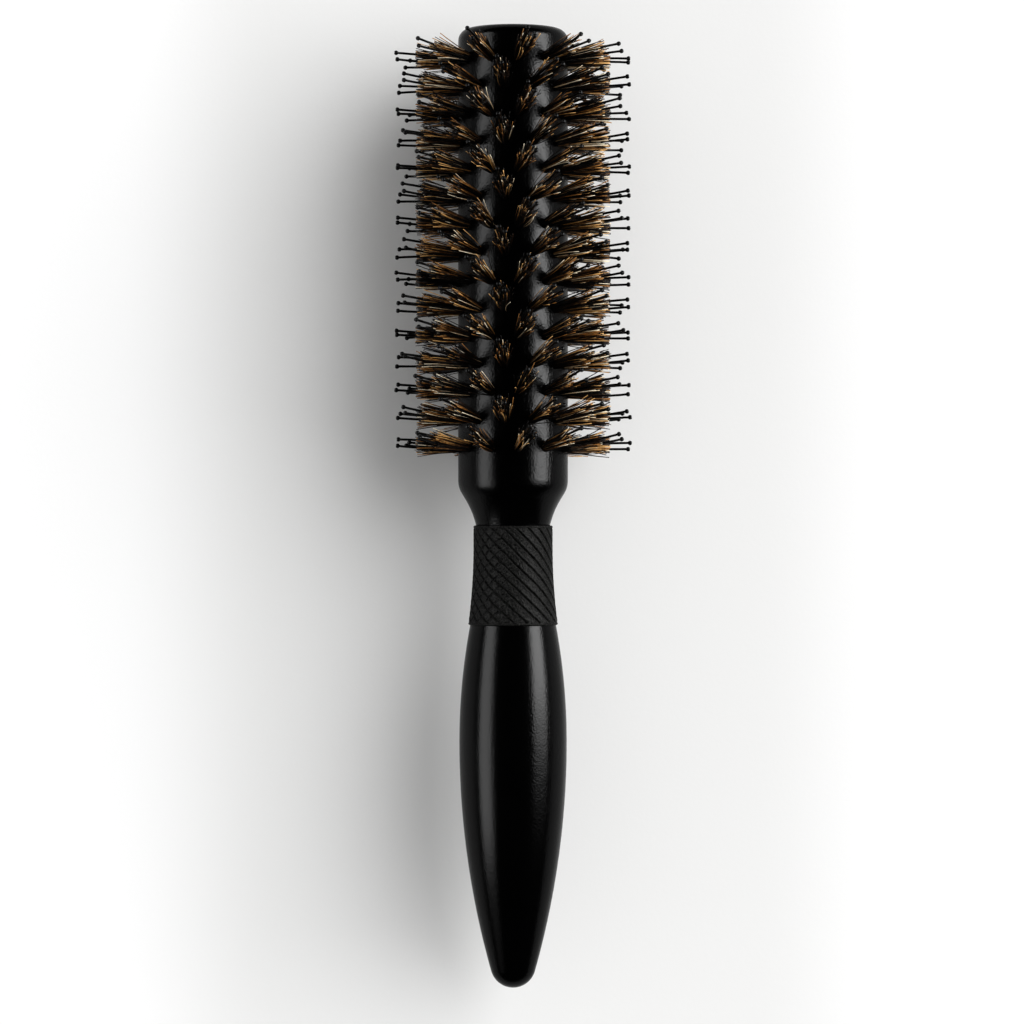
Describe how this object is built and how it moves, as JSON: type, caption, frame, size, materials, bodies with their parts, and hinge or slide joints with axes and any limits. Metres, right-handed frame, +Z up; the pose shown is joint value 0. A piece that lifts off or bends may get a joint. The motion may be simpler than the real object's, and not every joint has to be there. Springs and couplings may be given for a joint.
{
  "type": "round barrel brush",
  "caption": "Round hair brush with a wooden barrel, rings of mixed boar bristle and ball-tipped nylon tufts, a rubber neck sleeve and a slim tapered wooden handle.",
  "frame": {"origin": "centre of the barrel's flat end face, on the brush's axis", "axes": "+X along the brush's axis, out of the barrel's end, with the handle towards -X; +Z up when the brush lies level on its bristles"},
  "size_m": [0.2358, 0.0581, 0.0577],
  "materials": {
    "barrel_lacquer": "turned beech under black satin lacquer",
    "handle_lacquer": "turned beech under black satin lacquer",
    "bare_beech": "bare beech dowel",
    "grip_rubber": "matt black rubber with fine crossed grooves",
    "anchor_wire": "flat plated steel wire",
    "boar_bristle": "natural boar bristle, dark at the root and golden brown at the tip",
    "nylon": "glossy black nylon"
  },
  "bodies": {
    "root": {"barrel": "barrel_lacquer", "handle": "handle_lacquer", "joint_dowel": "bare_beech", "grip_sleeve": "grip_rubber", "tuft_anchors": "anchor_wire", "boar_tufts_01": "boar_bristle", "boar_tufts_02": "boar_bristle", "boar_tufts_03": "boar_bristle", "boar_tufts_04": "boar_bristle", "boar_tufts_05": "boar_bristle", "boar_tufts_06": "boar_bristle", "boar_tufts_07": "boar_bristle", "boar_tufts_08": "boar_bristle", "boar_tufts_09": "boar_bristle", "boar_tufts_10": "boar_bristle", "boar_tufts_11": "boar_bristle", "boar_tufts_12": "boar_bristle", "boar_tufts_13": "boar_bristle", "boar_tufts_14": "boar_bristle", "boar_tufts_15": "boar_bristle", "nylon_pins_01": "nylon", "nylon_pins_02": "nylon", "nylon_pins_03": "nylon", "nylon_pins_04": "nylon", "nylon_pins_05": "nylon", "nylon_pins_06": "nylon", "nylon_pins_07": "nylon", "nylon_pins_08": "nylon", "nylon_pins_09": "nylon", "nylon_pins_10": "nylon", "nylon_pins_11": "nylon", "nylon_pins_12": "nylon", "nylon_pins_13": "nylon", "nylon_pins_14": "nylon", "nylon_pins_15": "nylon"}
  },
  "joints": []
}
